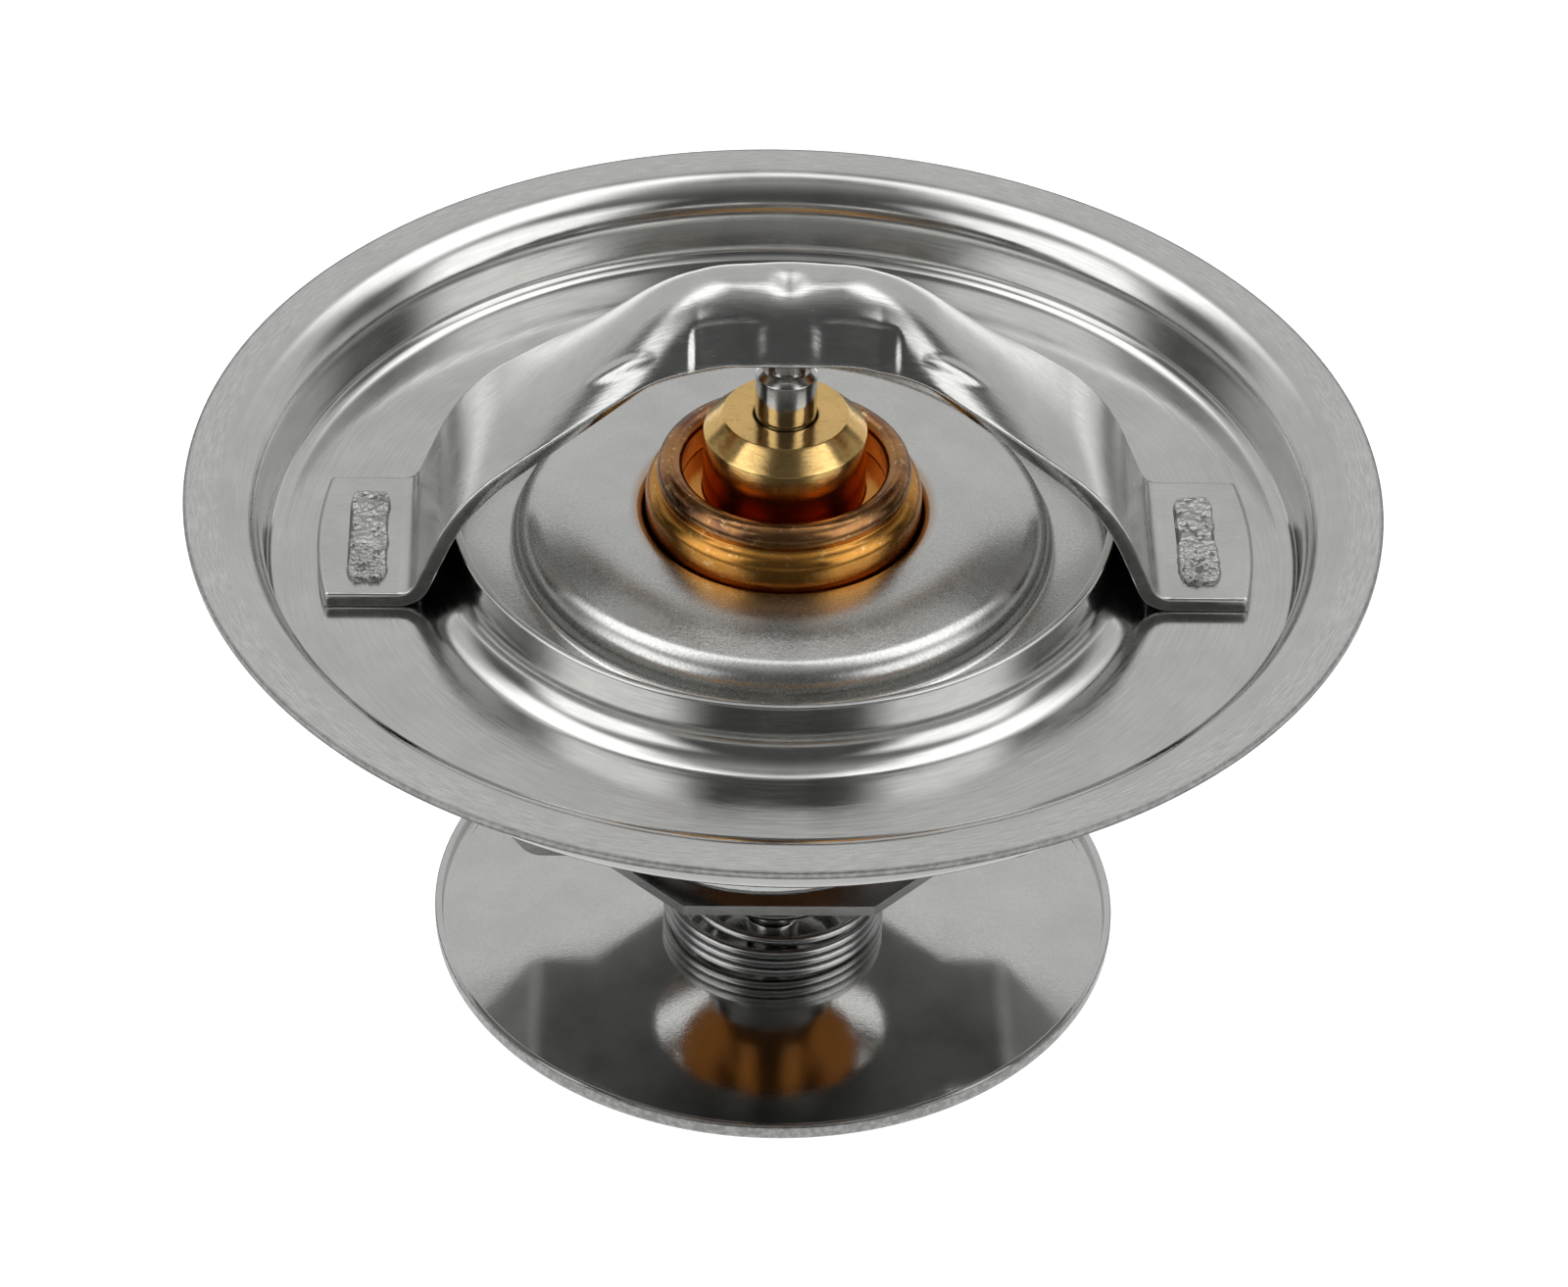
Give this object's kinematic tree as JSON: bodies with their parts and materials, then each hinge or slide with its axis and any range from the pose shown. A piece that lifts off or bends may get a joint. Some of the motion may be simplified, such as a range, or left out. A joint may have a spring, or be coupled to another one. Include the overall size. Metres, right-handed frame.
{
  "type": "engine coolant valve",
  "caption": "Wax-element engine coolant thermostat with a flanged rim, an arched bridge, a sprung valve disc and a sprung bypass plate.",
  "frame": {"origin": "centre of the top face of the rim, on the axis", "axes": "+Z along the axis, from the capsule to the bridge; X along the bridge and the lower frame"},
  "size_m": [0.08, 0.08, 0.0574],
  "materials": {
    "rim_steel": "pressed bright stainless steel",
    "strip_steel": "bent strip, bright",
    "disc_steel": "pressed bright stainless steel",
    "plate_steel": "smooth, mirror-like",
    "spring_steel": "drawn wire",
    "piston_steel": "ground",
    "guide_brass": "turned",
    "capsule_copper": null,
    "rubber": "matt",
    "backup": "hard white plastic",
    "wax": "wax filled with copper powder"
  },
  "bodies": {
    "frame": {"flange_plate": "rim_steel", "upper_bridge": "strip_steel", "lower_frame": "strip_steel", "piston": "piston_steel", "main_spring": "spring_steel"},
    "valve": {"capsule_cup": "capsule_copper", "piston_guide": "guide_brass", "backup_ring": "backup", "rubber_sleeve": "rubber", "wax_charge": "wax", "valve_disc": "disc_steel", "stem": "piston_steel", "retaining_ring": "spring_steel", "bypass_spring": "spring_steel"},
    "bypass": {"bypass_plate": "plate_steel"}
  },
  "joints": [
    {"name": "valve_slide", "type": "slide", "parent": "frame", "child": "valve", "axis": [0, 0, -1], "range_m": [0, 0.007], "stiffness_N_per_m": 4000, "springref_m": -0.004, "deforming": ["main_spring"]},
    {"name": "bypass_slide", "type": "slide", "parent": "valve", "child": "bypass", "axis": [0, 0, 1], "range_m": [0, 0.001], "stiffness_N_per_m": 800, "springref_m": -0.002, "deforming": ["bypass_spring"]}
  ]
}
